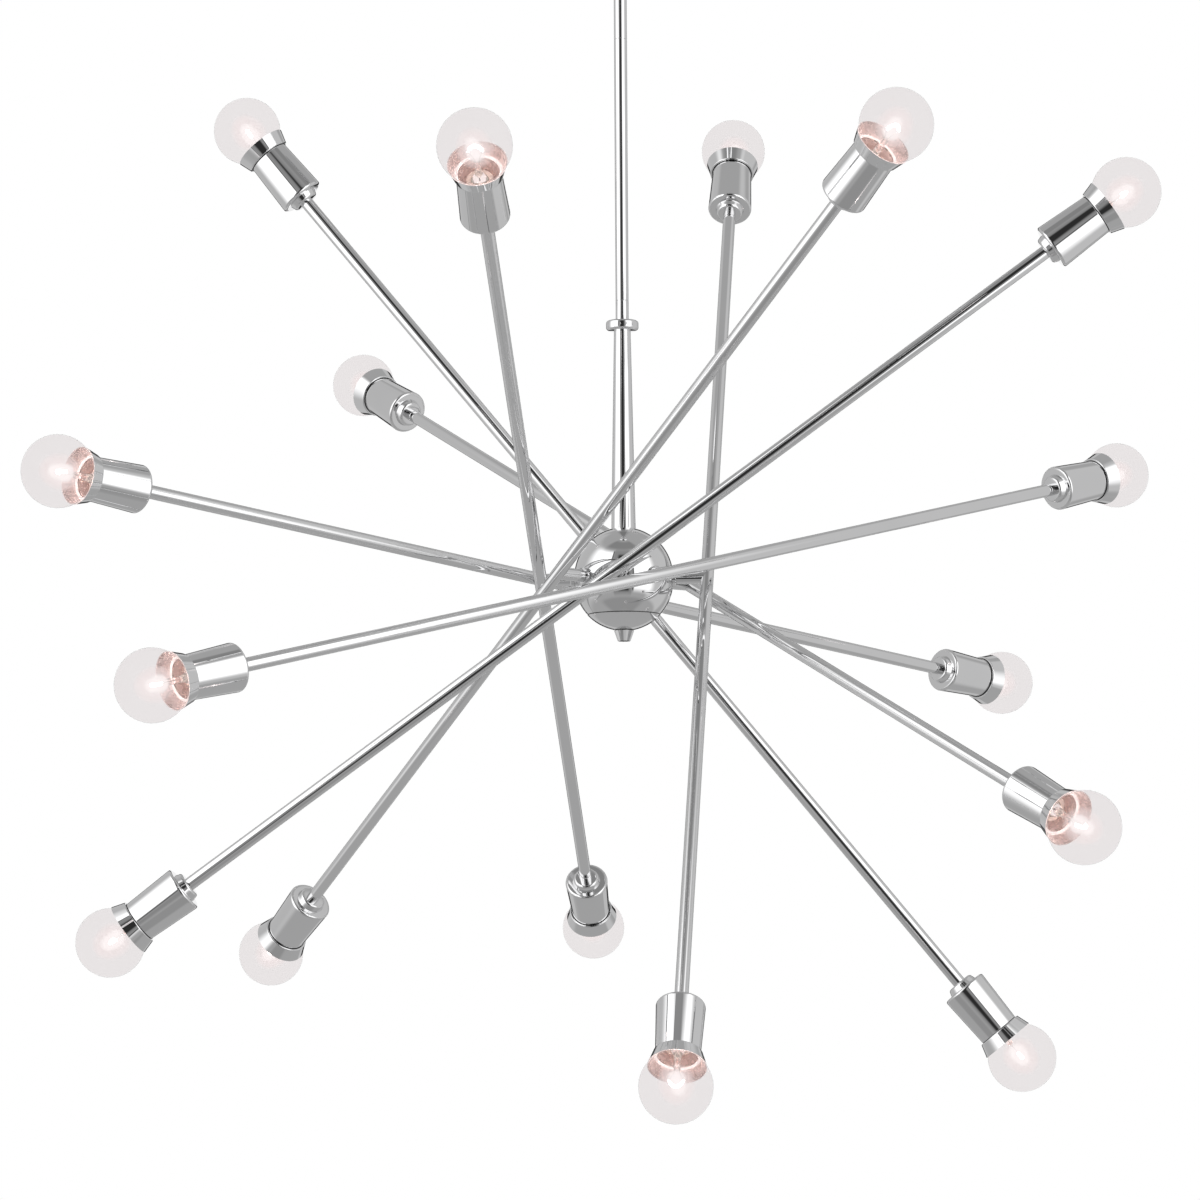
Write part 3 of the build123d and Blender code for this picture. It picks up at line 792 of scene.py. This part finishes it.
def paleFloor():
    look = floorLook
    clearSelection()
    bpy.ops.mesh.primitive_circle_add(vertices=96, radius=look["radius"], fill_type="NGON",
                                      location=(0, 0, look["height"]))
    floor = bpy.context.object
    floor.name = "paleFloor"
    atOrigin(floor)
    material, tree, shader = newMaterial("paleFloorPaint")
    place, apart = tree.nodes.new("ShaderNodeTexCoord"), tree.nodes.new("ShaderNodeVectorMath")
    reach = tree.nodes.new("ShaderNodeMapRange")
    apart.operation = "LENGTH"
    reach.interpolation_type = "SMOOTHSTEP"
    reach.inputs["From Min"].default_value = look["fullWithin"]
    reach.inputs["From Max"].default_value = look["goneBeyond"]
    reach.inputs["To Min"].default_value = 1
    reach.inputs["To Max"].default_value = 0
    shader.inputs["Base Color"].default_value = (look["tone"], look["tone"], look["tone"], 1)
    shader.inputs["Roughness"].default_value = look["roughness"]
    tree.links.new(place.outputs["Object"], apart.inputs[0])
    tree.links.new(apart.outputs["Value"], reach.inputs["Value"])
    # from below the floor is clear, so the light can be looked at from underneath
    side, above = tree.nodes.new("ShaderNodeNewGeometry"), tree.nodes.new("ShaderNodeMath")
    above.operation = "SUBTRACT"
    above.use_clamp = True
    tree.links.new(reach.outputs["Result"], above.inputs[0])
    tree.links.new(side.outputs["Backfacing"], above.inputs[1])
    tree.links.new(above.outputs["Value"], shader.inputs["Alpha"])
    floor.data.materials.append(material)


def softStep(value, edge, width):
    share = min(max((value - edge) / width + 0.5, 0), 1)
    return share * share * (3 - 2 * share)


def tentTone(across, above):
    # each light covers what stands before it in the list
    tone = studio["surround"]
    for light in tentLights:
        (left, right), (leftSoft, rightSoft) = light["round"], light["roundSoft"]
        (low, high), (lowSoft, highSoft) = light["above"], light["aboveSoft"]
        cover = softStep(across, left, leftSoft) * (1 - softStep(across, right, rightSoft))
        cover *= softStep(above, low, lowSoft) * (1 - softStep(above, high, highSoft))
        tone += (light["strength"] - tone) * cover
    return tone


def fromBack(away):
    # degrees between a direction and the one straight away from the camera
    return math.degrees(away.angle(-towardsCamera()))


def rimTone(away):
    share = softStep(fromBack(away), darkRim["fromBack"], darkRim["soft"])
    return darkRim["strength"] + (darkRim["beyond"] - darkRim["strength"]) * share


def reflectingTent(name):
    shell = tentShells[name]
    clearSelection()
    bpy.ops.mesh.primitive_uv_sphere_add(segments=240, ring_count=120, radius=shell["radius"], location=hub)
    tent = bpy.context.object
    tent.name = name + "ReflectingTent"
    atOrigin(tent)
    mesh = tent.data
    tones = []
    for corner in mesh.vertices:
        away = (corner.co - hub).normalized()
        if name == "near":
            tone = tentTone(math.degrees(math.atan2(away.x, -away.y)), math.degrees(math.asin(away.z)))
        else:
            tone = rimTone(away)
        tones += [tone, tone, tone, 1]
    mesh.color_attributes.new("tentTone", "FLOAT_COLOR", "POINT").data.foreach_set("color", tones)
    material = bpy.data.materials.new(name + "TentLight")
    material.use_nodes = True
    tree = material.node_tree
    tree.nodes.clear()
    painted = tree.nodes.new("ShaderNodeAttribute")
    painted.attribute_name = "tentTone"
    glow, out = tree.nodes.new("ShaderNodeEmission"), tree.nodes.new("ShaderNodeOutputMaterial")
    tree.links.new(painted.outputs["Color"], glow.inputs["Color"])
    tree.links.new(glow.outputs["Emission"], out.inputs["Surface"])
    mesh.materials.append(material)
    first, last = shell["fromBack"]
    selectFaces(tent, lambda centre: not first < fromBack(centre - hub) < last)
    bpy.ops.object.mode_set(mode="EDIT")
    bpy.ops.mesh.select_mode(type="FACE")
    bpy.ops.mesh.delete(type="FACE")
    bpy.ops.object.mode_set(mode="OBJECT")
    # only reflections see the tent
    tent.visible_camera = tent.visible_diffuse = tent.visible_transmission = False
    tent.visible_shadow = tent.visible_volume_scatter = False


def softLamp(name, look):
    clearSelection()
    bpy.ops.object.light_add(type="AREA", location=look["place"])
    lamp = bpy.context.object
    lamp.name = name
    lamp.data.shape = "SQUARE"
    lamp.data.size = look["size"]
    lamp.data.energy = look["power"]
    lamp.rotation_euler = (hub - Vector(look["place"])).to_track_quat("-Z", "Y").to_euler()
    lamp.visible_camera = lamp.visible_glossy = lamp.visible_transmission = False


whiteSurround()
paleFloor()
reflectingTent("near")
reflectingTent("far")
softLamp("overheadLamp", overheadLamp)
bpy.context.scene.view_settings.view_transform = "Standard"
print("studio set")
